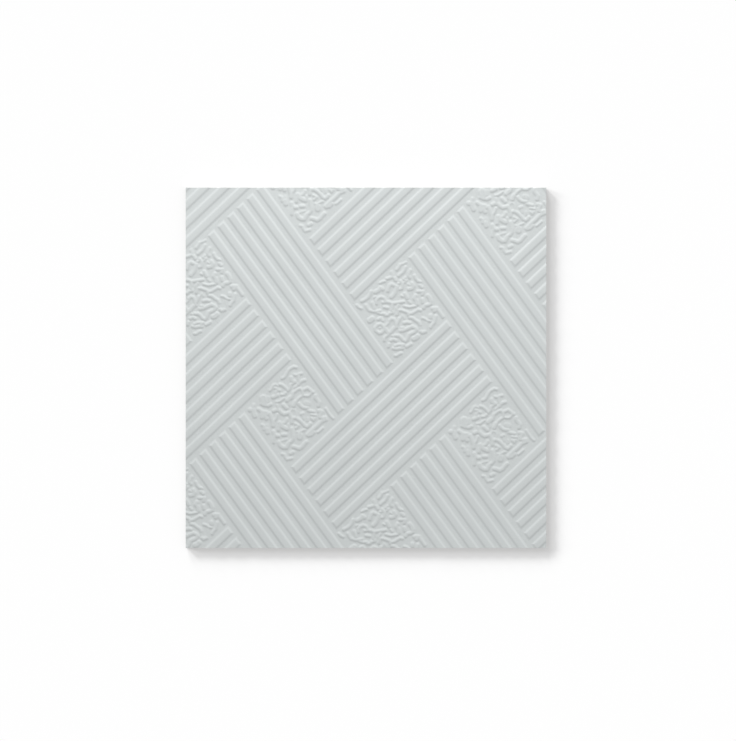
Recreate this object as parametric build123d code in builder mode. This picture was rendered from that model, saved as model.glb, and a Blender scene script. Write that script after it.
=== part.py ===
# Gypsum ceiling tile: one square board, lying face up, with an oblique
# basket weave of raised bars moulded on its face. Lengths are in
# millimetres and angles in degrees. The origin is the centre of the flat
# back, +Z is the face side, +X and +Y run along the sides.
from build123d import *
from math import ceil, hypot, radians, tan
import os

# Board
tile_side = 595.0
board_thickness = 8.5

# Raised bars: how far they stand up, how far their flanks lean from the
# vertical, and their width at half height
relief_height = 1.0
flank_lean = 70.0
bar_width = 12.1
bars_per_strap = 6

# The bars lie in two families of straps. Falling straps run down to the
# right and rising straps run up to the right.
falling_angle = -53.9
rising_angle = 43.35

# Valley between two bars of a strap
falling_valley = 9.75
rising_valley = 10.3

# Distance from the middle of a strap to the middle of the next one of its
# family, measured along the straps that cross them
falling_spacing = 248.2
rising_spacing = 255.7

# Bare groove between the end of a bar and the strap that it dives under
end_groove = 11.1

# Middle of the crossing that the weave is laid out from
weave_centre_x = 42.2
weave_centre_y = -93.5

# Worked out from the sizes above
falling_way = Vector(1, 0).rotate(Axis.Z, falling_angle)
rising_way = Vector(1, 0).rotate(Axis.Z, rising_angle)
cross_sine = falling_way.cross(rising_way).length
weave_origin = Vector(weave_centre_x, weave_centre_y)
flank_foot = relief_height * tan(radians(flank_lean)) / 2
face_plane = Plane.XY.offset(board_thickness)


def bar_length(crossed_spacing, crossed_valley):
    """Length at half height of a bar that runs over one strap and stops
    short of the straps on both sides of it."""
    crossed_width = bars_per_strap * (bar_width + crossed_valley) - crossed_valley
    return 2 * (crossed_spacing - (crossed_width / 2 + end_groove) / cross_sine)


falling_length = bar_length(rising_spacing, rising_valley)
rising_length = bar_length(falling_spacing, falling_valley)


def strap_middles(falling_on_top):
    """Middles of the crossings where straps of one family lie on top. The
    two families take turns, like the squares of a chessboard, as far out as
    a bar still reaches the board."""
    reach = hypot(tile_side, tile_side) / 2 + max(falling_length, rising_length)
    rows = ceil((reach + weave_origin.length) / min(falling_spacing, rising_spacing))
    middles = []
    for row in range(-rows, rows + 1):
        for column in range(-rows, rows + 1):
            middle = (
                weave_origin
                + falling_way * (row * rising_spacing)
                + rising_way * (column * falling_spacing)
            )
            if ((row + column) % 2 == 1) == falling_on_top and middle.length < reach:
                middles.append(middle)
    return middles


def bar_middles(falling_on_top, crossed_way, valley):
    """Middles of all bars of one family, stepped along the crossed straps."""
    step = crossed_way * ((bar_width + valley) / cross_sine)
    first = (1 - bars_per_strap) / 2
    return [
        middle + step * (first + bar)
        for middle in strap_middles(falling_on_top)
        for bar in range(bars_per_strap)
    ]


def bar_corners(along, length, crossed_way):
    """Corners of a bar whose ends run along the straps that it dives under.
    They follow each other counterclockwise for both families, because a foot
    drawn clockwise would be extruded down into the board."""
    run = along * (length / 2)
    end = crossed_way * (bar_width / cross_sine / 2)
    if along.cross(crossed_way).Z < 0:
        end = -end
    return [run + end, end - run, -run - end, run - end]


with BuildPart() as ceiling_tile:
    # Bars of both families, wider at the foot by the lean of their flanks
    with BuildSketch(face_plane) as bar_feet:
        with Locations(*bar_middles(True, rising_way, falling_valley)):
            Polygon(*bar_corners(falling_way, falling_length, rising_way))
        with Locations(*bar_middles(False, falling_way, rising_valley)):
            Polygon(*bar_corners(rising_way, rising_length, falling_way))
        offset(amount=flank_foot, kind=Kind.INTERSECTION)
    extrude(amount=relief_height, taper=flank_lean)

    # The weave is cut off flush with the sides, as a board sawn from stock is
    with BuildSketch(face_plane) as weave_trim:
        Rectangle(tile_side, tile_side)
    extrude(amount=relief_height, mode=Mode.INTERSECT)

    # The board itself
    with BuildSketch(Plane.XY) as board_outline:
        Rectangle(tile_side, tile_side)
    extrude(amount=board_thickness)

ceiling_tile.part.label = "ceiling_tile"

os.makedirs("parts", exist_ok=True)
export_step(ceiling_tile.part, "parts/ceiling_tile.step")
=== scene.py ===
from math import ceil, cos, floor, pi, radians, sin, tan

import bpy
import numpy as np
from bpy.props import FloatProperty, FloatVectorProperty, IntProperty, PointerProperty
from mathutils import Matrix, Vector


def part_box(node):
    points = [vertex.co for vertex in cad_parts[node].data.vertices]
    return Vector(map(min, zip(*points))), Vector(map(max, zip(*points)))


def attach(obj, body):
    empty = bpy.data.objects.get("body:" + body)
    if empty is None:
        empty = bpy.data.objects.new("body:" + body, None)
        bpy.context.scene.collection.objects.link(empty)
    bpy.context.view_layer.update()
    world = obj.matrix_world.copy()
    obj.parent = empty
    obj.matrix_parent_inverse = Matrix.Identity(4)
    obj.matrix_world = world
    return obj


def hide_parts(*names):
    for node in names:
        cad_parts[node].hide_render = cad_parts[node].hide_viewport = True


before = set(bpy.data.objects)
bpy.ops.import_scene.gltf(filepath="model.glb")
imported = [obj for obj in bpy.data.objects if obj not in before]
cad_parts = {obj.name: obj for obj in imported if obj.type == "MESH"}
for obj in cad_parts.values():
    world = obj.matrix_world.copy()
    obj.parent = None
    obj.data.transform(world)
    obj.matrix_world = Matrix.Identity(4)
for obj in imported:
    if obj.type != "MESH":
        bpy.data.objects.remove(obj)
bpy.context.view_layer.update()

TILE_NODE = "ceiling_tile"
TILE_LOW, TILE_HIGH = (Vector(corner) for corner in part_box(TILE_NODE))
MILLIMETRE = 0.001

# A point of the sheet that is this near to a cut counts as lying on it
CUT_THRESHOLD = 1e-6

# Faces that meet at a smaller angle are one flat face
FLAT_ANGLE = radians(1.0)

# Edges with a larger angle are the edges of a raised bar, and the sawn ones
BAR_EDGE_ANGLE = radians(10.0)
SAWN_EDGE_ANGLE = radians(40.0)

# A side's normal rises less than the first, and the back's less than the second
SIDE_RISE = 0.2
BACK_RISE = -0.9

# Places of the tile's three materials in its list
FACE, SIDES, BACK = range(3)

# Side of the floor, and how far it lies under the tile
FLOOR_SIDE = 60.0
FLOOR_GAP = 0.0003

# The fan of lights for the floor: the turn and the width of each in degrees,
# and its share of the light
FLOOR_LAMPS = (
    ("floor_lamp_left", -20.0, 17.2, 0.28),
    ("floor_lamp_middle", -45.0, 13.0, 0.44),
    ("floor_lamp_rear", -70.0, 17.2, 0.28),
)
FLOOR_LAMP_ELEVATION = radians(17.8)

bl_info = {
    "name": "Gypsum ceiling tile",
    "version": (1, 0, 0),
    "blender": (4, 5, 0),
    "location": "3D View > Sidebar > Ceiling tile",
    "description": "Square gypsum ceiling tile with a moulded basket weave on its face",
    "category": "Add Mesh",
}

# Ridges of the worm relief in the two kinds of fields, which take turns like
# the squares of a chessboard, drawn after the photograph. Each has its
# half width at half height in millimetres, its share of the full height, and
# points along its middle line in millimetres from the field's middle.
FIELD_RIDGES = (
    (
        (2.3, 1.0, ((8, 76), (4, 77), (0, 75), (-4, 72), (-7, 67), (-9, 63), (-11, 60), (-15, 58))),
        (2.2, 0.9, ((5, 64), (9, 63), (13, 65), (17, 66))),
        (2.2, 0.9, ((12, 63), (12, 58), (13, 53))),
        (3.0, 1.0, ((0, 59), (1, 55), (5, 52))),
        (2.2, 0.9, ((3, 50), (-1, 47), (-2, 42), (-5, 38))),
        (2.6, 1.0, ((22, 55), (18, 54), (14, 51), (12, 48))),
        (1.8, 0.7, ((12, 47), (8, 45), (6, 43))),
        (2.3, 1.0, ((-19, 48), (-15, 47), (-11, 44), (-8, 41), (-6, 38))),
        (1.8, 0.7, ((-27, 48), (-22, 46))),
        (1.8, 0.8, ((-28, 42), (-23, 41))),
        (2.0, 1.0, ((-35, 38), (-33, 40), (-31, 44), (-29, 47))),
        (2.3, 1.0, ((2, 29), (3, 34), (7, 37), (11, 40), (15, 41), (18, 38), (19, 34), (19, 30))),
        (2.5, 1.0, ((19, 38), (22, 40), (27, 42), (31, 39), (34, 36), (36, 35))),
        (1.9, 1.0, ((33, 35), (32, 32), (29, 29), (24, 29), (19, 30))),
        (2.2, 1.0, ((19, 30), (15, 27), (12, 25), (9, 21))),
        (3.2, 1.0, ((7, 19), (5, 16), (4, 13))),
        (3.5, 1.0, ((-6, 22), (-3, 25), (0, 27))),
        (1.8, 0.6, ((-4, 20), (-3, 14))),
        (2.1, 1.0, ((-16, 31), (-12, 31), (-9, 34))),
        (2.9, 1.0, ((-30, 27), (-27, 28), (-23, 30))),
        (2.0, 0.8, ((-25, 31), (-25, 35), (-23, 39), (-19, 38))),
        (6.0, 1.0, ((-46, 25), (-45, 19))),
        (2.8, 1.0, ((-49, 16), (-44, 14), (-38, 13), (-34, 15))),
        (3.0, 0.6, ((-38, 26), (-38, 20))),
        (3.6, 1.0, ((-68, 6), (-63, 6), (-62, 1), (-60, -4))),
        (2.4, 0.8, ((-63, 9), (-62, 14))),
        (2.9, 1.0, ((-54, 7), (-50, 4), (-45, 2), (-41, 2))),
        (3.4, 1.0, ((-48, 0), (-48, -6))),
        (3.2, 1.0, ((-44, -3), (-41, -8))),
        (2.9, 1.0, ((-42, -2), (-36, 0), (-34, -4), (-32, -10), (-30, -15), (-30, -20))),
        (2.0, 0.9, ((-28, -12), (-25, -8), (-23, -2))),
        (2.9, 1.0, ((-29, 4), (-25, 6), (-20, 5), (-16, 1), (-12, -1), (-7, 0), (-3, 1))),
        (2.0, 1.0, ((-22, 7), (-23, 14))),
        (2.6, 1.0, ((-3, 0), (-1, -4), (1, -9), (1, -15))),
        (2.6, 1.0, (
            (2, -8), (7, -7), (11, -9), (15, -12), (19, -16), (22, -20), (26, -22), (29, -20), (31, -17)
        )),
        (1.6, 0.6, ((-1, 4), (2, 7), (6, 6), (8, 2), (8, -4))),
        (2.8, 1.0, ((-13, 14), (-10, 11), (-8, 9))),
        (1.9, 0.9, ((-24, 19), (-19, 20), (-16, 22), (-12, 25))),
        (3.4, 1.0, ((-19, -16), (-17, -20), (-12, -23), (-7, -25))),
        (2.6, 1.0, ((-20, -20), (-21, -27))),
        (2.6, 0.8, ((-14, -17), (-9, -14), (-7, -10))),
        (1.8, 0.8, ((-5, -18), (-5, -24))),
        (2.7, 1.0, ((-14, -35), (-9, -35))),
        (2.8, 1.0, ((-29, -30), (-28, -34), (-24, -37), (-21, -37))),
        (2.3, 1.0, ((-28, -37), (-29, -43), (-29, -48))),
        (2.4, 0.9, ((-48, -19), (-45, -21), (-45, -26))),
        (3.6, 1.0, ((-40, -26), (-39, -31))),
        (3.0, 0.5, ((-40, -20), (-39, -24))),
        (2.6, 1.0, ((13, 16), (15, 13), (19, 10), (24, 9), (27, 9))),
        (4.0, 0.6, ((24, 17), (28, 16))),
        (2.5, 1.0, ((28, 5), (32, 4), (37, 3))),
        (2.6, 1.0, ((17, -1), (19, 0))),
        (2.0, 0.6, ((19, -4), (20, -9))),
        (2.0, 1.0, ((34, -2), (40, -3))),
        (2.2, 0.9, ((34, -8), (37, -11), (39, -8))),
        (1.8, 0.6, ((27, -8), (27, -12))),
        (3.0, 1.0, ((40, 29), (40, 26), (44, 21), (46, 18), (45, 13))),
        (2.0, 1.0, ((57, 8), (60, 3), (64, -3), (69, -8))),
        (3.0, 0.9, ((46, 4), (50, 3), (48, -3))),
        (3.0, 1.0, ((48, -6), (52, -8), (56, -7))),
        (2.9, 1.0, ((57, -10), (50, -13), (46, -17), (42, -21), (37, -25), (33, -29), (27, -35))),
        (3.0, 1.0, ((37, -31), (33, -35), (28, -36))),
        (1.8, 1.0, ((44, -31), (48, -28), (52, -24))),
        (1.9, 0.9, ((7, -17), (12, -20), (8, -24))),
        (4.8, 0.9, ((14, -36), (14, -39))),
        (1.8, 0.8, ((10, -31), (13, -32), (17, -29), (22, -27))),
        (2.6, 1.0, ((1, -25), (2, -31), (3, -37), (3, -42), (0, -46), (-4, -48))),
        (3.2, 1.0, ((-20, -48), (-18, -53), (-13, -56), (-8, -56), (-5, -50))),
        (1.6, 0.6, ((-17, -46), (-12, -44), (-7, -43))),
        (3.0, 1.0, ((4, -55), (8, -56), (13, -58), (18, -55), (21, -51), (25, -47))),
        (2.8, 0.9, ((-1, -66), (3, -64))),
        (2.2, 0.9, ((-15, -67), (-11, -68), (-10, -72), (-7, -76), (-3, -75), (1, -74))),
    ),
    (
        (1.8, 0.8, ((2, 76), (5, 77), (9, 79))),
        (2.3, 1.0, ((-1, 75), (-3, 71), (-6, 67))),
        (2.4, 1.0, ((8, 71), (6, 66), (3, 62), (0, 60), (-3, 57))),
        (2.4, 0.9, ((16, 66), (14, 62), (13, 57), (15, 54))),
        (1.8, 0.9, ((8, 54), (5, 51), (9, 49), (7, 46))),
        (2.3, 1.0, ((23, 57), (25, 52), (29, 48), (33, 47))),
        (2.4, 1.0, ((-23, 52), (-19, 53), (-14, 55), (-10, 53), (-8, 49))),
        (2.6, 0.7, ((-13, 58), (-15, 63))),
        (2.0, 1.0, ((-34, 45), (-30, 47), (-26, 48))),
        (2.6, 1.0, ((-11, 41), (-15, 43), (-18, 41), (-20, 36), (-21, 32))),
        (3.2, 1.0, ((-30, 35), (-33, 37), (-36, 33), (-42, 30))),
        (2.5, 1.0, ((-49, 31), (-50, 27), (-53, 22), (-58, 18), (-64, 15))),
        (2.2, 1.0, ((-72, 8), (-69, 5), (-65, 3))),
        (2.4, 1.0, ((-57, 8), (-55, 4), (-52, 0), (-45, -2), (-40, -2), (-34, -1))),
        (2.6, 0.9, ((-47, 12), (-45, 8), (-44, 3))),
        (2.4, 1.0, ((-40, 11), (-40, 16), (-37, 20), (-32, 22), (-27, 20), (-25, 16))),
        (2.4, 1.0, ((-29, 13), (-24, 14), (-18, 13), (-14, 11), (-8, 12), (-2, 13), (5, 14))),
        (3.0, 1.0, ((-6, 39), (-7, 35), (-9, 29), (-12, 25), (-15, 22))),
        (2.4, 1.0, ((0, 48), (3, 44), (3, 40), (2, 36), (-1, 35))),
        (1.8, 0.9, ((-4, 44), (-1, 45))),
        (3.0, 1.0, ((19, 44), (21, 40), (19, 36), (14, 35))),
        (1.8, 0.8, ((16, 41), (13, 43))),
        (2.6, 1.0, ((32, 41), (35, 38))),
        (2.4, 1.0, ((28, 31), (33, 31), (37, 31), (36, 26))),
        (2.7, 1.0, ((36, 18), (37, 13))),
        (3.0, 1.0, ((25, 24), (23, 20), (26, 16), (27, 10))),
        (2.0, 1.0, ((25, 7), (20, 6), (14, 5), (9, 6), (6, 7))),
        (2.9, 1.0, ((7, 27), (9, 24), (11, 20))),
        (2.0, 0.8, ((13, 15), (16, 12))),
        (2.0, 1.0, ((2, 24), (4, 23))),
        (3.2, 1.0, ((45, 24), (48, 20), (50, 15))),
        (2.8, 1.0, ((50, 11), (46, 9), (40, 8), (38, 4))),
        (3.0, 1.0, ((53, 3), (57, 3), (60, 3), (56, -1))),
        (2.6, 1.0, ((62, 0), (65, -4), (68, -8), (70, -11))),
        (3.0, 1.0, ((49, -9), (49, -12))),
        (2.4, 1.0, ((58, -10), (57, -15), (56, -20), (52, -24), (50, -28))),
        (2.0, 1.0, ((36, -13), (40, -14), (44, -17), (49, -18))),
        (2.6, 1.0, ((33, -35), (36, -37), (41, -35))),
        (1.8, 0.6, ((42, -32), (43, -27), (43, -21))),
        (1.6, 0.6, ((32, -20), (32, -31))),
        (2.4, 1.0, ((15, -12), (20, -13), (25, -17), (30, -20), (32, -24))),
        (2.3, 1.0, ((-4, 8), (-6, 3), (-5, -2), (-6, -7))),
        (2.2, 1.0, ((-5, 0), (1, 0), (7, -2), (12, -4), (13, -8))),
        (2.3, 1.0, ((14, -6), (19, -5), (24, -2), (29, 1), (33, 0))),
        (2.3, 1.0, ((-27, 5), (-21, 4))),
        (2.2, 1.0, ((-38, -4), (-32, -6), (-26, -6))),
        (2.3, 1.0, ((-25, -8), (-21, -8), (-18, -5), (-13, -4))),
        (2.2, 1.0, ((-14, 10), (-14, 5), (-15, 0), (-13, -3))),
        (2.4, 1.0, ((-37, -15), (-33, -13), (-30, -17))),
        (4.4, 1.0, ((-51, -17), (-47, -14))),
        (2.5, 1.0, (
            (-35, -38), (-41, -34), (-42, -29), (-38, -24), (-32, -23), (-28, -27), (-27, -32),
            (-31, -37), (-35, -38)
        )),
        (1.4, 0.7, ((-35, -29), (-33, -29))),
        (3.0, 1.0, ((-26, -30), (-23, -34), (-20, -38), (-16, -36), (-13, -32), (-10, -29))),
        (2.0, 0.8, ((-26, -27), (-22, -23), (-19, -20))),
        (2.5, 1.0, ((-18, -17), (-15, -14), (-11, -15), (-9, -19), (-8, -24), (-7, -28))),
        (2.4, 1.0, ((-2, -14), (-4, -19), (-6, -23))),
        (2.5, 1.0, ((6, -21), (11, -20), (15, -21))),
        (2.8, 1.0, (
            (0, -34), (5, -33), (10, -31), (14, -29), (19, -27), (24, -29), (26, -32), (23, -36),
            (18, -38), (14, -40), (12, -45)
        )),
        (1.5, 0.9, ((1, -29), (5, -29))),
        (2.5, 1.0, ((-9, -42), (-3, -42), (1, -45), (4, -49), (8, -51), (11, -48), (12, -44))),
        (2.2, 1.0, ((-27, -50), (-27, -46), (-24, -43), (-20, -40))),
        (2.5, 1.0, ((-16, -50), (-12, -48), (-8, -50))),
        (1.8, 0.8, ((-14, -42), (-12, -43))),
        (2.4, 1.0, ((-19, -56), (-20, -60))),
        (2.3, 1.0, ((-9, -59), (-5, -57), (0, -57), (5, -57), (2, -60))),
        (2.5, 1.0, ((-12, -63), (-7, -64), (-1, -63), (3, -63))),
        (2.5, 1.0, ((10, -60), (14, -58), (17, -56))),
        (3.9, 1.0, ((22, -47), (25, -46), (28, -43))),
        (2.3, 1.0, ((-9, -75), (-6, -75), (-2, -72), (1, -71))),
        (1.6, 0.6, ((0, -13), (3, -9), (6, -13))),
        (1.8, 0.9, ((-43, 21), (-42, 22))),
    ),
)


def length_of(name, description, default):
    """A length in metres that a user can change."""
    return FloatProperty(
        name=name, description=description, default=default, min=0.0, unit="LENGTH", subtype="DISTANCE"
    )


def colour_of(name, description, default):
    """A colour that a user can change."""
    return FloatVectorProperty(
        name=name, description=description, default=default, size=3, min=0.0, max=1.0, subtype="COLOR"
    )


class WeaveSizes(bpy.types.PropertyGroup):
    """Sizes of the straps of raised bars."""

    bar_width: length_of("Bar width", "Width of a bar at half its height", 0.0121)
    bars_per_strap: IntProperty(
        name="Bars in a strap", description="How many bars lie side by side in a strap", default=6, min=1
    )
    relief_height: length_of("Relief height", "How far a bar stands up from the ground", 0.001)
    flank_lean: FloatProperty(
        name="Flank lean", description="Lean of a bar's flanks from the vertical",
        default=radians(70.0), subtype="ANGLE", unit="ROTATION",
    )
    edge_round: length_of("Edge rounding", "Width of the rounding along the edges of a bar", 0.0013)
    falling_angle: FloatProperty(
        name="Falling angle", description="Direction of the straps that run down to the right",
        default=radians(-53.9), subtype="ANGLE", unit="ROTATION",
    )
    rising_angle: FloatProperty(
        name="Rising angle", description="Direction of the straps that run up to the right",
        default=radians(43.35), subtype="ANGLE", unit="ROTATION",
    )
    falling_valley: length_of("Falling valley", "Gap between two bars of a falling strap", 0.00975)
    rising_valley: length_of("Rising valley", "Gap between two bars of a rising strap", 0.0103)
    falling_spacing: length_of(
        "Falling spacing", "From one falling strap to the next, along the rising straps", 0.2482
    )
    rising_spacing: length_of(
        "Rising spacing", "From one rising strap to the next, along the falling straps", 0.2557
    )
    end_groove: length_of(
        "End groove", "Bare groove between a bar's end and the strap it dives under", 0.0111
    )
    field_margin: length_of(
        "Field margin", "Bare edge between a strap and the worm relief beside it", 0.005
    )
    centre: FloatVectorProperty(
        name="Weave centre", description="Crossing that the weave is laid out from",
        default=(0.0422, -0.0935), size=2, unit="LENGTH", subtype="TRANSLATION",
    )


class WormSizes(bpy.types.PropertyGroup):
    """Sizes of the worm-like ridges in the square fields of the weave."""

    grid_step: length_of("Grid step", "Distance between two points of a field's surface", 0.001)
    ridge_height: length_of("Ridge height", "Height of the tallest ridges", 0.00074)
    ridge_width: FloatProperty(
        name="Ridge width", description="Width of the ridges as a share of the drawn one",
        default=1.0, min=0.0,
    )
    flank: length_of("Ridge flank", "Width of a ridge's sloping side, seen from above", 0.0038)
    fade: length_of("Fade", "Width over which the relief fades out along a field's edges", 0.0015)


class Finish(bpy.types.PropertyGroup):
    """Colours of the face, the sawn sides and the back, and the back's bevel."""

    face_colour: colour_of("Face", "Washable white face", (0.592, 0.623, 0.621))
    side_colour: colour_of("Sides", "Sawn gypsum", (0.61, 0.60, 0.57))
    back_colour: colour_of("Back", "Bare back", (0.60, 0.58, 0.54))
    arris: length_of("Back arris", "Small bevel along the edges of the back", 0.0005)


class StageSizes(bpy.types.PropertyGroup):
    """Camera, lamps and floor."""

    pixel_size: length_of("Pixel", "Width that one pixel of the picture covers on the tile", 0.00165)
    key_power: FloatProperty(
        name="Key power", description="Power of the low lamp", default=172.8, unit="POWER"
    )
    key_elevation: FloatProperty(
        name="Key elevation", description="Height of the low lamp above the tile's plane",
        default=radians(24.5), subtype="ANGLE", unit="ROTATION",
    )
    ambient: FloatProperty(
        name="Ambient", description="Strength of the light from all around", default=0.54
    )
    floor_light: FloatProperty(
        name="Floor light", description="Light that the lamps for the floor alone throw on it",
        default=1.63,
    )


class WeaveLayout:
    """The oblique grid of the weave. A place on it is given by how far it
    lies along the falling way (down) and along the rising way (up)."""

    def __init__(self, sizes):
        self.sizes = sizes
        self.origin = np.array(sizes.centre)
        self.falling_way = np.array((cos(sizes.falling_angle), sin(sizes.falling_angle)))
        self.rising_way = np.array((cos(sizes.rising_angle), sin(sizes.rising_angle)))
        self.ways = np.column_stack((self.falling_way, self.rising_way))
        self.sine = abs(np.linalg.det(self.ways))
        self.flank_foot = sizes.relief_height * tan(sizes.flank_lean) / 2
        self.falling_step = (sizes.bar_width + sizes.falling_valley) / self.sine
        self.rising_step = (sizes.bar_width + sizes.rising_valley) / self.sine
        self.foot_half = (sizes.bar_width / 2 + self.flank_foot) / self.sine
        self.falling_half = self.strap_half(sizes.falling_valley)
        self.rising_half = self.strap_half(sizes.rising_valley)
        self.end_gap = (sizes.end_groove - self.flank_foot) / self.sine
        self.field_gap = sizes.field_margin / self.sine

    def strap_half(self, valley):
        """Half of a strap's width along the way that crosses it."""
        bars = self.sizes.bars_per_strap
        return (bars * (self.sizes.bar_width + valley) - valley) / 2 / self.sine

    def point(self, down, up):
        """The x and y of a place on the weave."""
        return self.origin + down * self.falling_way + up * self.rising_way

    def places(self, points):
        """How far down and up the weave each point lies."""
        return np.linalg.solve(self.ways, (np.asarray(points) - self.origin).T)

    def first_bar(self):
        """Number of bar steps from a strap's middle back to its first bar."""
        return -(self.sizes.bars_per_strap - 1) / 2

    def long_cuts(self, step, half):
        """Where the feet of a strap's bars and the fields beside it lie,
        measured from its middle."""
        for bar in range(self.sizes.bars_per_strap):
            middle = (self.first_bar() + bar) * step
            yield middle - self.foot_half
            yield middle + self.foot_half
        yield -half - self.field_gap
        yield half + self.field_gap

    def end_cuts(self, half):
        """Where the bars that dive under a strap end, measured from its middle."""
        yield -half - self.end_gap
        yield half + self.end_gap

    def on_bar(self, offset, step):
        """Whether an offset from a strap's middle falls on one of its bars."""
        bar = np.round(offset / step - self.first_bar())
        inside = (bar >= 0) & (bar < self.sizes.bars_per_strap)
        return inside & (abs(offset - (self.first_bar() + bar) * step) < self.foot_half)

    def is_bar(self, down, up):
        """Whether each place lies on a bar. A falling strap lies on top where
        the numbers of the two straps add up to an odd one."""
        rising_gap = self.sizes.rising_spacing
        falling_gap = self.sizes.falling_spacing
        rising_strap = np.round(down / rising_gap)
        falling_strap = np.round(up / falling_gap)
        over_rising = 2 * np.round((down / rising_gap - falling_strap - 1) / 2) + falling_strap + 1
        over_falling = 2 * np.round((up / falling_gap - rising_strap) / 2) + rising_strap
        falling_reach = rising_gap - self.rising_half - self.end_gap
        rising_reach = falling_gap - self.falling_half - self.end_gap
        falling_bar = self.on_bar(up - falling_strap * falling_gap, self.falling_step)
        falling_bar &= abs(down - over_rising * rising_gap) < falling_reach
        rising_bar = self.on_bar(down - rising_strap * rising_gap, self.rising_step)
        rising_bar &= abs(up - over_falling * falling_gap) < rising_reach
        return falling_bar | rising_bar

    def field_depth(self, down, up):
        """How far inside a square field between the straps each place lies."""
        rising_gap = self.sizes.rising_spacing
        falling_gap = self.sizes.falling_spacing
        beside_rising = abs(down - np.round(down / rising_gap) * rising_gap) - self.rising_half
        beside_falling = abs(up - np.round(up / falling_gap) * falling_gap) - self.falling_half
        return (np.minimum(beside_rising, beside_falling) - self.field_gap) * self.sine

    def is_field(self, down, up):
        """Whether each place lies in such a field."""
        return self.field_depth(down, up) > 0

    def reach(self):
        """First and last strap numbers, falling and rising, that the sheet
        needs to cover the tile."""
        corners = [(x, y) for x in (TILE_LOW.x, TILE_HIGH.x) for y in (TILE_LOW.y, TILE_HIGH.y)]
        down, up = self.places(corners)
        return (
            (floor(min(down) / self.sizes.rising_spacing), ceil(max(down) / self.sizes.rising_spacing)),
            (floor(min(up) / self.sizes.falling_spacing), ceil(max(up) / self.sizes.falling_spacing)),
        )

    def families(self):
        """For the rising and then the falling straps: their numbers, spacing
        and way, the way that crosses them, and their bar step and half width."""
        rising, falling = self.reach()
        yield (
            range(rising[0], rising[1] + 1), self.sizes.rising_spacing,
            self.rising_way, self.falling_way, self.rising_step, self.rising_half,
        )
        yield (
            range(falling[0], falling[1] + 1), self.sizes.falling_spacing,
            self.falling_way, self.rising_way, self.falling_step, self.falling_half,
        )


def start_piece(name):
    """Names the new primitive and leaves it as the only selected object."""
    piece = bpy.context.object
    piece.name = name
    piece.data.name = name
    return piece


def edit(select_mode="FACE"):
    """Opens the active object in edit mode with nothing selected."""
    bpy.ops.object.mode_set(mode="EDIT")
    bpy.ops.mesh.select_mode(type=select_mode)
    bpy.ops.mesh.select_all(action="DESELECT")


def face_middles(mesh):
    """Middle of each face."""
    middles = np.empty(len(mesh.polygons) * 3)
    mesh.polygons.foreach_get("center", middles)
    return middles.reshape(-1, 3)


def select_faces(piece, wanted):
    """Leaves edit mode's selection on the wanted faces alone."""
    edit()
    bpy.ops.object.mode_set(mode="OBJECT")
    piece.data.polygons.foreach_set("select", np.asarray(wanted, dtype=bool))
    bpy.ops.object.mode_set(mode="EDIT")


def lay_sheet(layout):
    """A flat oblique sheet, larger than the tile, at the level of the ground
    between the bars."""
    rising, falling = layout.reach()
    ground = TILE_HIGH.z - layout.sizes.relief_height
    bpy.ops.object.select_all(action="DESELECT")
    bpy.ops.mesh.primitive_plane_add(size=1.0, location=(0.0, 0.0, 0.0))
    sheet = start_piece("tile_board")
    for corner in sheet.data.vertices:
        down = rising[int(corner.co.x > 0)] * layout.sizes.rising_spacing
        up = falling[int(corner.co.y > 0)] * layout.sizes.falling_spacing
        corner.co = (*layout.point(down, up), ground)
    return sheet


def cut_sheet(cuts):
    """Cuts what shows of the sheet along each of these upright planes."""
    edit()
    for point, normal in cuts:
        bpy.ops.mesh.select_all(action="SELECT")
        bpy.ops.mesh.bisect(plane_co=point, plane_no=normal, threshold=CUT_THRESHOLD)
    bpy.ops.object.mode_set(mode="OBJECT")


def strap_cuts(layout, at_ends):
    """The cuts along the straps of both families: the feet of the bars and
    the edges of the fields or, at the ends, where crossing bars stop."""
    for straps, spacing, way, crossing_way, step, half in layout.families():
        for strap in straps:
            offsets = layout.end_cuts(half) if at_ends else layout.long_cuts(step, half)
            for offset in offsets:
                point = layout.origin + crossing_way * (strap * spacing + offset)
                yield (*point, 0.0), (-way[1], way[0], 0.0)


def divide_fields(sheet, layout, worms):
    """Gives each field that reaches the tile a fine surface, and hides the
    fields while the straps are shaped. They are halved first, because one
    subdivision makes no more than a hundred cuts."""
    middles = face_middles(sheet.data)
    down, up = layout.places(middles[:, :2])
    field_side = layout.sizes.rising_spacing - 2 * (layout.rising_half + layout.field_gap)
    near_x = abs(middles[:, 0]) < TILE_HIGH.x + field_side
    near_y = abs(middles[:, 1]) < TILE_HIGH.y + field_side
    select_faces(sheet, layout.is_field(down, up) & near_x & near_y)
    steps_in_half = round(field_side / 2 / worms.grid_step)
    bpy.ops.mesh.subdivide(number_cuts=1)
    bpy.ops.mesh.subdivide(number_cuts=steps_in_half - 1)
    bpy.ops.object.mode_set(mode="OBJECT")
    down, up = layout.places(face_middles(sheet.data)[:, :2])
    select_faces(sheet, layout.is_field(down, up))
    bpy.ops.mesh.hide()
    bpy.ops.object.mode_set(mode="OBJECT")


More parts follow.
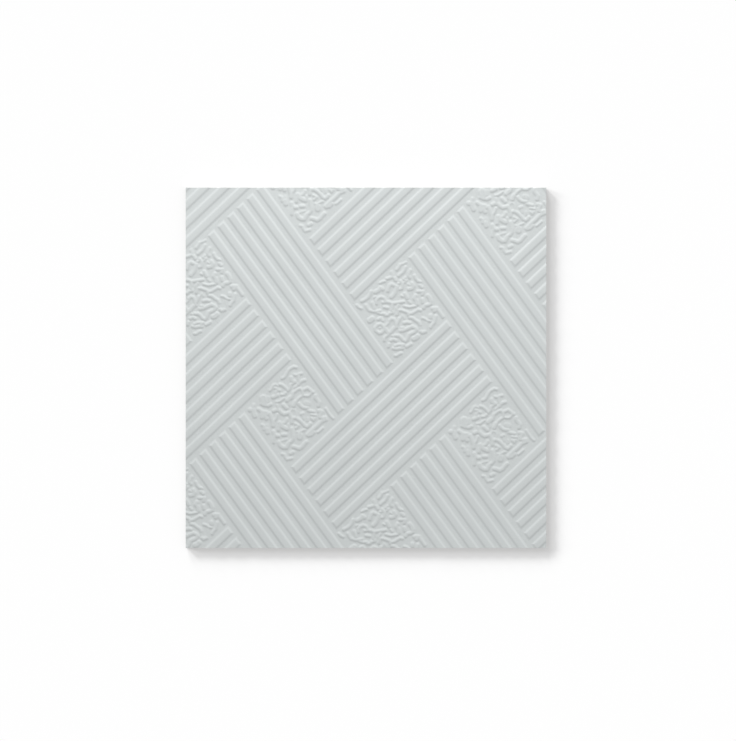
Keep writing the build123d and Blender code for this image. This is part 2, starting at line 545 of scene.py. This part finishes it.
def raise_bars(sheet, layout):
    """Insets the bars' feet and lifts what is inside, merges the faces that
    the cuts left over, rounds the bars' edges and shows the fields again."""
    down, up = layout.places(face_middles(sheet.data)[:, :2])
    select_faces(sheet, layout.is_bar(down, up))
    bpy.ops.mesh.inset(thickness=2 * layout.flank_foot, depth=layout.sizes.relief_height)
    bpy.ops.mesh.select_all(action="SELECT")
    bpy.ops.mesh.dissolve_limited(angle_limit=FLAT_ANGLE)
    bpy.ops.mesh.select_mode(type="EDGE")
    bpy.ops.mesh.select_all(action="DESELECT")
    bpy.ops.mesh.edges_select_sharp(sharpness=BAR_EDGE_ANGLE)
    bpy.ops.mesh.bevel(offset=layout.sizes.edge_round, segments=2, clamp_overlap=False)
    bpy.ops.mesh.reveal(select=False)
    bpy.ops.object.mode_set(mode="OBJECT")


def press_worms(sheet, layout, worms):
    """Lifts the points of the fields near the middle line of each ridge."""
    points = np.empty(len(sheet.data.vertices) * 3)
    sheet.data.vertices.foreach_get("co", points)
    points = points.reshape(-1, 3)
    down, up = layout.places(points[:, :2])
    rows = np.floor(down / layout.sizes.rising_spacing)
    columns = np.floor(up / layout.sizes.falling_spacing)
    in_field = layout.is_field(down, up)
    for row, column in sorted(set(zip(rows[in_field], columns[in_field]))):
        chosen = np.flatnonzero(in_field & (rows == row) & (columns == column))
        middle = layout.point(
            (row + 0.5) * layout.sizes.rising_spacing, (column + 0.5) * layout.sizes.falling_spacing
        )
        lift = worm_lift(points[chosen, :2] - middle, FIELD_RIDGES[int(row + column) % 2], worms)
        edge = layout.field_depth(down[chosen], up[chosen])
        points[chosen, 2] += lift * smooth_step(edge / worms.fade)
    sheet.data.vertices.foreach_set("co", points.ravel())
    sheet.data.update()


def worm_lift(points, ridges, worms):
    """How far a field's ridges lift each point, measured from its middle."""
    lift = np.zeros(len(points))
    for half_width, height, line in ridges:
        line = np.array(line) * MILLIMETRE
        foot = half_width * MILLIMETRE * worms.ridge_width + worms.flank / 2
        close = (points > line.min(axis=0) - foot) & (points < line.max(axis=0) + foot)
        near = np.flatnonzero(close.all(axis=1))
        inside = foot - distance_to_line(points[near], line)
        rise = worms.ridge_height * height * smooth_step(inside / worms.flank)
        lift[near] = np.maximum(lift[near], rise)
    return lift


def distance_to_line(points, line):
    """Distance from each point to a line of short straight pieces."""
    nearest = np.full(len(points), np.inf)
    for start, end in zip(line[:-1], line[1:]):
        run = end - start
        along = np.clip((points - start) @ run / (run @ run), 0.0, 1.0)
        gap = np.linalg.norm(points - start - along[:, None] * run, axis=1)
        nearest = np.minimum(nearest, gap)
    return nearest


def smooth_step(share):
    """Rises smoothly from 0 to 1 as the share does, and stays level beyond."""
    run = np.clip(share, 0.0, 1.0)
    return run * run * (3.0 - 2.0 * run)


def saw_sides(finish):
    """Saws the sheet off at the tile's four sides, draws the rim down and
    closes the back."""
    edit()
    for corner, way in (
        (TILE_HIGH, (1, 0, 0)), (TILE_LOW, (-1, 0, 0)),
        (TILE_HIGH, (0, 1, 0)), (TILE_LOW, (0, -1, 0)),
    ):
        bpy.ops.mesh.select_all(action="SELECT")
        bpy.ops.mesh.bisect(
            plane_co=corner, plane_no=way, clear_outer=True, threshold=CUT_THRESHOLD
        )
    bpy.ops.mesh.select_mode(type="EDGE")
    bpy.ops.mesh.select_all(action="DESELECT")
    bpy.ops.mesh.select_non_manifold(
        extend=False, use_wire=False, use_boundary=True, use_multi_face=False,
        use_non_contiguous=False, use_verts=False,
    )
    arris_level = (0.0, 0.0, TILE_LOW.z + finish.arris)
    bpy.ops.mesh.extrude_region_move(TRANSFORM_OT_translate={"value": (0.0, 0.0, -TILE_HIGH.z)})
    bpy.ops.transform.resize(value=(1.0, 1.0, 0.0), center_override=arris_level)
    bpy.ops.mesh.extrude_region_move(TRANSFORM_OT_translate={"value": (0.0, 0.0, -finish.arris)})
    shrink = 1.0 - 2 * finish.arris / (TILE_HIGH.x - TILE_LOW.x)
    bpy.ops.transform.resize(value=(shrink, shrink, 1.0), center_override=(0.0, 0.0, 0.0))
    bpy.ops.mesh.edge_face_add()
    bpy.ops.mesh.select_all(action="SELECT")
    bpy.ops.mesh.normals_make_consistent(inside=False)
    bpy.ops.object.mode_set(mode="OBJECT")


def tidy_sides(sheet):
    """Merges the narrow strips of the sawn sides and the back."""
    normals = np.empty(len(sheet.data.polygons) * 3)
    sheet.data.polygons.foreach_get("normal", normals)
    rises = normals.reshape(-1, 3)[:, 2]
    select_faces(sheet, rises < SIDE_RISE)
    bpy.ops.mesh.dissolve_limited(angle_limit=FLAT_ANGLE)
    bpy.ops.object.mode_set(mode="OBJECT")


def shade_tile(sheet):
    """Smooth shading that keeps the sawn edges crisp and the flats flat."""
    bpy.ops.object.shade_smooth_by_angle(angle=SAWN_EDGE_ANGLE)
    weighted = sheet.modifiers.new("Flat faces stay flat", "WEIGHTED_NORMAL")
    weighted.mode = "FACE_AREA"
    weighted.keep_sharp = True
    bpy.ops.object.modifier_apply(modifier=weighted.name)


def new_material(name, roughness):
    """A material, its nodes and links, and its shader."""
    material = bpy.data.materials.new(name)
    material.use_nodes = True
    nodes, links = material.node_tree.nodes, material.node_tree.links
    shader = nodes["Principled BSDF"]
    shader.inputs["Roughness"].default_value = roughness
    return material, nodes, links, shader


def place_on_piece(nodes):
    """The place on the piece in its own coordinates."""
    return nodes.new("ShaderNodeTexCoord").outputs["Object"]


def noise(nodes, links, place, scale, detail=2.0, stretch=(1.0, 1.0, 1.0)):
    """Noise of a given count per metre, stretched along the axes."""
    mapping = nodes.new("ShaderNodeMapping")
    mapping.inputs["Scale"].default_value = stretch
    links.new(place, mapping.inputs["Vector"])
    texture = nodes.new("ShaderNodeTexNoise")
    texture.inputs["Scale"].default_value = scale
    texture.inputs["Detail"].default_value = detail
    links.new(mapping.outputs["Vector"], texture.inputs["Vector"])
    return texture.outputs["Fac"]


def spread(nodes, links, value, low, high, come_from=(0.3, 0.7)):
    """Takes a value to the range from low to high, by default from the range
    that most of a noise lies in."""
    span = nodes.new("ShaderNodeMapRange")
    span.inputs["From Min"].default_value, span.inputs["From Max"].default_value = come_from
    span.inputs["To Min"].default_value, span.inputs["To Max"].default_value = low, high
    links.new(value, span.inputs["Value"])
    return span.outputs["Result"]


def tinted(nodes, links, value, dark, light):
    """Mixes two colours by a value from 0 to 1."""
    mix = nodes.new("ShaderNodeMix")
    mix.data_type = "RGBA"
    mix.inputs["A"].default_value = (*dark, 1.0)
    mix.inputs["B"].default_value = (*light, 1.0)
    links.new(value, mix.inputs["Factor"])
    return mix.outputs["Result"]


def bumped(nodes, links, value, depth, normal=None):
    """Bump of a given depth in metres, on top of an earlier one."""
    bump = nodes.new("ShaderNodeBump")
    bump.inputs["Distance"].default_value = depth
    links.new(value, bump.inputs["Height"])
    if normal:
        links.new(normal, bump.inputs["Normal"])
    return bump.outputs["Normal"]


def shade_of(colour, factor):
    """A colour made lighter or darker."""
    return tuple(channel * factor for channel in colour)


def face_material(finish):
    """Washable white face: satin, with faint clouds and a fine grain."""
    material, nodes, links, shader = new_material("white_face", roughness=0.5)
    place = place_on_piece(nodes)
    clouds = noise(nodes, links, place, scale=9.0, detail=3.0)
    colour = tinted(
        nodes, links, spread(nodes, links, clouds, low=0.0, high=1.0),
        dark=shade_of(finish.face_colour, 0.985), light=shade_of(finish.face_colour, 1.015),
    )
    links.new(colour, shader.inputs["Base Color"])
    grain = noise(nodes, links, place, scale=900.0, detail=3.0)
    links.new(spread(nodes, links, grain, low=0.50, high=0.64), shader.inputs["Roughness"])
    links.new(bumped(nodes, links, grain, depth=0.00003), shader.inputs["Normal"])
    return material


def side_material(finish):
    """Sawn gypsum: chalky, with pores and the shallow marks of the saw."""
    material, nodes, links, shader = new_material("sawn_gypsum", roughness=0.9)
    place = place_on_piece(nodes)
    specks = noise(nodes, links, place, scale=500.0, detail=4.0)
    colour = tinted(
        nodes, links, spread(nodes, links, specks, low=0.0, high=1.0),
        dark=shade_of(finish.side_colour, 0.9), light=shade_of(finish.side_colour, 1.04),
    )
    links.new(colour, shader.inputs["Base Color"])
    links.new(spread(nodes, links, specks, low=0.82, high=0.95), shader.inputs["Roughness"])
    marks = noise(nodes, links, place, scale=60.0, detail=2.0, stretch=(0.3, 0.3, 25.0))
    sawn = bumped(nodes, links, marks, depth=0.0001)
    cells = nodes.new("ShaderNodeTexVoronoi")
    cells.inputs["Scale"].default_value = 450.0
    links.new(place, cells.inputs["Vector"])
    pores = spread(
        nodes, links, cells.outputs["Distance"], low=0.0, high=1.0, come_from=(0.08, 0.35)
    )
    links.new(bumped(nodes, links, pores, depth=0.00015, normal=sawn), shader.inputs["Normal"])
    return material


def back_material(finish):
    """Bare back: a dull board with faint fibres and blotches."""
    material, nodes, links, shader = new_material("bare_back", roughness=0.85)
    place = place_on_piece(nodes)
    fibres = noise(nodes, links, place, scale=260.0, detail=4.0, stretch=(1.0, 0.12, 1.0))
    blotches = noise(nodes, links, place, scale=14.0, detail=4.0)
    both = nodes.new("ShaderNodeMath")
    both.operation = "ADD"
    links.new(spread(nodes, links, fibres, low=0.0, high=0.6), both.inputs[0])
    links.new(spread(nodes, links, blotches, low=0.0, high=0.4), both.inputs[1])
    colour = tinted(
        nodes, links, both.outputs["Value"],
        dark=shade_of(finish.back_colour, 0.9), light=shade_of(finish.back_colour, 1.06),
    )
    links.new(colour, shader.inputs["Base Color"])
    links.new(spread(nodes, links, fibres, low=0.78, high=0.92), shader.inputs["Roughness"])
    links.new(bumped(nodes, links, fibres, depth=0.00008), shader.inputs["Normal"])
    return material


def paint_tile(sheet, finish):
    """Face material on the moulded face, the others on the sides and back."""
    for material in (face_material(finish), side_material(finish), back_material(finish)):
        sheet.data.materials.append(material)
    for face in sheet.data.polygons:
        if face.normal.z < BACK_RISE:
            face.material_index = BACK
        elif face.normal.z < SIDE_RISE:
            face.material_index = SIDES
        else:
            face.material_index = FACE


class CEILING_TILE_OT_tile(bpy.types.Operator):
    """Model the tile: weave, worm relief, sawn sides and back"""

    bl_idname = "ceiling_tile.add_tile"
    bl_label = "Add tile"

    def execute(self, context):
        scene = context.scene
        layout = WeaveLayout(scene.tile_weave)
        board = lay_sheet(layout)
        cut_sheet(strap_cuts(layout, at_ends=False))
        divide_fields(board, layout, scene.tile_worms)
        cut_sheet(strap_cuts(layout, at_ends=True))
        raise_bars(board, layout)
        press_worms(board, layout, scene.tile_worms)
        saw_sides(scene.tile_finish)
        tidy_sides(board)
        paint_tile(board, scene.tile_finish)
        shade_tile(board)
        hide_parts(TILE_NODE)
        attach(board, "root")
        return {"FINISHED"}


class CEILING_TILE_OT_stage(bpy.types.Operator):
    """Set up the floor, the lamps and the camera"""

    bl_idname = "ceiling_tile.add_stage"
    bl_label = "Add stage"

    def execute(self, context):
        scene = context.scene
        stage = scene.tile_stage
        bpy.ops.object.select_all(action="DESELECT")
        bpy.ops.mesh.primitive_plane_add(
            size=FLOOR_SIDE, location=(0.0, 0.0, TILE_LOW.z - FLOOR_GAP)
        )
        ground = start_piece("floor")
        ground.data.materials.append(floor_material())
        ground.visible_diffuse = False
        add_key(stage, scene.objects["tile_board"])
        add_floor_lamps(stage, ground)
        add_camera(scene, stage)
        fill_world(scene, stage)
        scene.view_settings.view_transform = "Standard"
        return {"FINISHED"}


def where_seen(nodes, links, hidden, seen):
    """One strength where a surface is seen, directly or in a reflection, and
    another for the light that it gives."""
    path = nodes.new("ShaderNodeLightPath")
    shown = path.outputs["Is Camera Ray"]
    for way in ("Is Glossy Ray", "Is Transmission Ray"):
        either = nodes.new("ShaderNodeMath")
        either.operation = "MAXIMUM"
        links.new(shown, either.inputs[0])
        links.new(path.outputs[way], either.inputs[1])
        shown = either.outputs["Value"]
    return spread(nodes, links, shown, low=hidden, high=seen, come_from=(0.0, 1.0))


def floor_material():
    """White floor: dull for the light, and lifted to white where it is seen,
    so that it keeps the tile's shadow. From below it lets the back show."""
    material, nodes, links, shader = new_material("white_floor", roughness=1.0)
    shader.inputs["Base Color"].default_value = (0.75, 0.75, 0.75, 1.0)
    shader.inputs["Specular IOR Level"].default_value = 0.0
    shader.inputs["Emission Color"].default_value = (1.0, 1.0, 1.0, 1.0)
    lifted = where_seen(nodes, links, hidden=0.0, seen=0.2)
    links.new(lifted, shader.inputs["Emission Strength"])
    one_sided = nodes.new("ShaderNodeMixShader")
    links.new(nodes.new("ShaderNodeNewGeometry").outputs["Backfacing"], one_sided.inputs["Fac"])
    links.new(shader.outputs["BSDF"], one_sided.inputs[1])
    links.new(nodes.new("ShaderNodeBsdfTransparent").outputs["BSDF"], one_sided.inputs[2])
    links.new(one_sided.outputs["Shader"], nodes["Material Output"].inputs["Surface"])
    return material


def add_key(stage, tile):
    """Soft lamp beyond the rear of the tile, low enough to rake its relief."""
    distance = 4.0
    elevation = stage.key_elevation
    lamp = bpy.data.lights.new("key_lamp", "AREA")
    lamp.shape = "SQUARE"
    lamp.size = 0.8
    lamp.energy = stage.key_power
    holder = bpy.data.objects.new("key_lamp", lamp)
    bpy.context.collection.objects.link(holder)
    holder.location = (0.0, distance * cos(elevation), distance * sin(elevation))
    holder.rotation_euler = (elevation - pi / 2, 0.0, 0.0)
    light_only(holder, tile)


def add_floor_lamps(stage, ground):
    """A fan of three soft lights from the rear left, which together throw the
    tile's soft shadow on the floor."""
    for name, turn, width, share in FLOOR_LAMPS:
        lamp = bpy.data.lights.new(name, "SUN")
        lamp.angle = radians(width)
        lamp.energy = stage.floor_light * share / sin(FLOOR_LAMP_ELEVATION)
        holder = bpy.data.objects.new(name, lamp)
        bpy.context.collection.objects.link(holder)
        holder.rotation_euler = (0.0, FLOOR_LAMP_ELEVATION - pi / 2, radians(turn))
        light_only(holder, ground)


def light_only(holder, receiver):
    """Lets a lamp light one object alone."""
    lit = bpy.data.collections.new(holder.name + "_lights")
    lit.objects.link(receiver)
    holder.light_linking.receiver_collection = lit


def add_camera(scene, stage):
    """Camera straight above the tile, framed as the photograph: the picture's
    size and the tile's middle in it are in pixels."""
    picture_width, picture_height = 736, 741
    tile_middle_x, tile_middle_y = 365.5, 367.3
    camera = bpy.data.cameras.new("camera")
    camera.lens = 85.0
    camera.sensor_fit = "HORIZONTAL"
    camera.sensor_width = 36.0
    camera.clip_end = 100.0
    holder = bpy.data.objects.new("camera", camera)
    bpy.context.collection.objects.link(holder)
    distance = camera.lens / camera.sensor_width * picture_width * stage.pixel_size
    right = ((picture_width - 1) / 2 - tile_middle_x) * stage.pixel_size
    up = (tile_middle_y - (picture_height - 1) / 2) * stage.pixel_size
    holder.location = (right, up, TILE_HIGH.z + distance)
    scene.camera = holder


def fill_world(scene, stage):
    """Even light from all around, from a world that is white where it is seen."""
    world = bpy.data.worlds.new("studio")
    world.use_nodes = True
    nodes, links = world.node_tree.nodes, world.node_tree.links
    background = nodes["Background"]
    background.inputs["Color"].default_value = (1.0, 1.0, 1.0, 1.0)
    strength = where_seen(nodes, links, hidden=stage.ambient, seen=1.0)
    links.new(strength, background.inputs["Strength"])
    scene.world = world


class CEILING_TILE_PT_panel(bpy.types.Panel):
    """Lists the tile's operators and sizes"""

    bl_label = "Ceiling tile"
    bl_idname = "CEILING_TILE_PT_panel"
    bl_space_type = "VIEW_3D"
    bl_region_type = "UI"
    bl_category = "Ceiling tile"

    def draw(self, context):
        scene = context.scene
        for group in (scene.tile_weave, scene.tile_worms, scene.tile_finish, scene.tile_stage):
            box = self.layout.box()
            for name in group.__annotations__:
                box.prop(group, name)
        self.layout.operator(CEILING_TILE_OT_tile.bl_idname)
        self.layout.operator(CEILING_TILE_OT_stage.bl_idname)


CLASSES = (
    WeaveSizes,
    WormSizes,
    Finish,
    StageSizes,
    CEILING_TILE_OT_tile,
    CEILING_TILE_OT_stage,
    CEILING_TILE_PT_panel,
)


def register():
    for cls in CLASSES:
        bpy.utils.register_class(cls)
    bpy.types.Scene.tile_weave = PointerProperty(type=WeaveSizes)
    bpy.types.Scene.tile_worms = PointerProperty(type=WormSizes)
    bpy.types.Scene.tile_finish = PointerProperty(type=Finish)
    bpy.types.Scene.tile_stage = PointerProperty(type=StageSizes)


def unregister():
    for name in ("tile_weave", "tile_worms", "tile_finish", "tile_stage"):
        delattr(bpy.types.Scene, name)
    for cls in reversed(CLASSES):
        bpy.utils.unregister_class(cls)


def main():
    register()
    bpy.ops.ceiling_tile.add_tile()
    bpy.ops.ceiling_tile.add_stage()


if __name__ == "__main__":
    main()
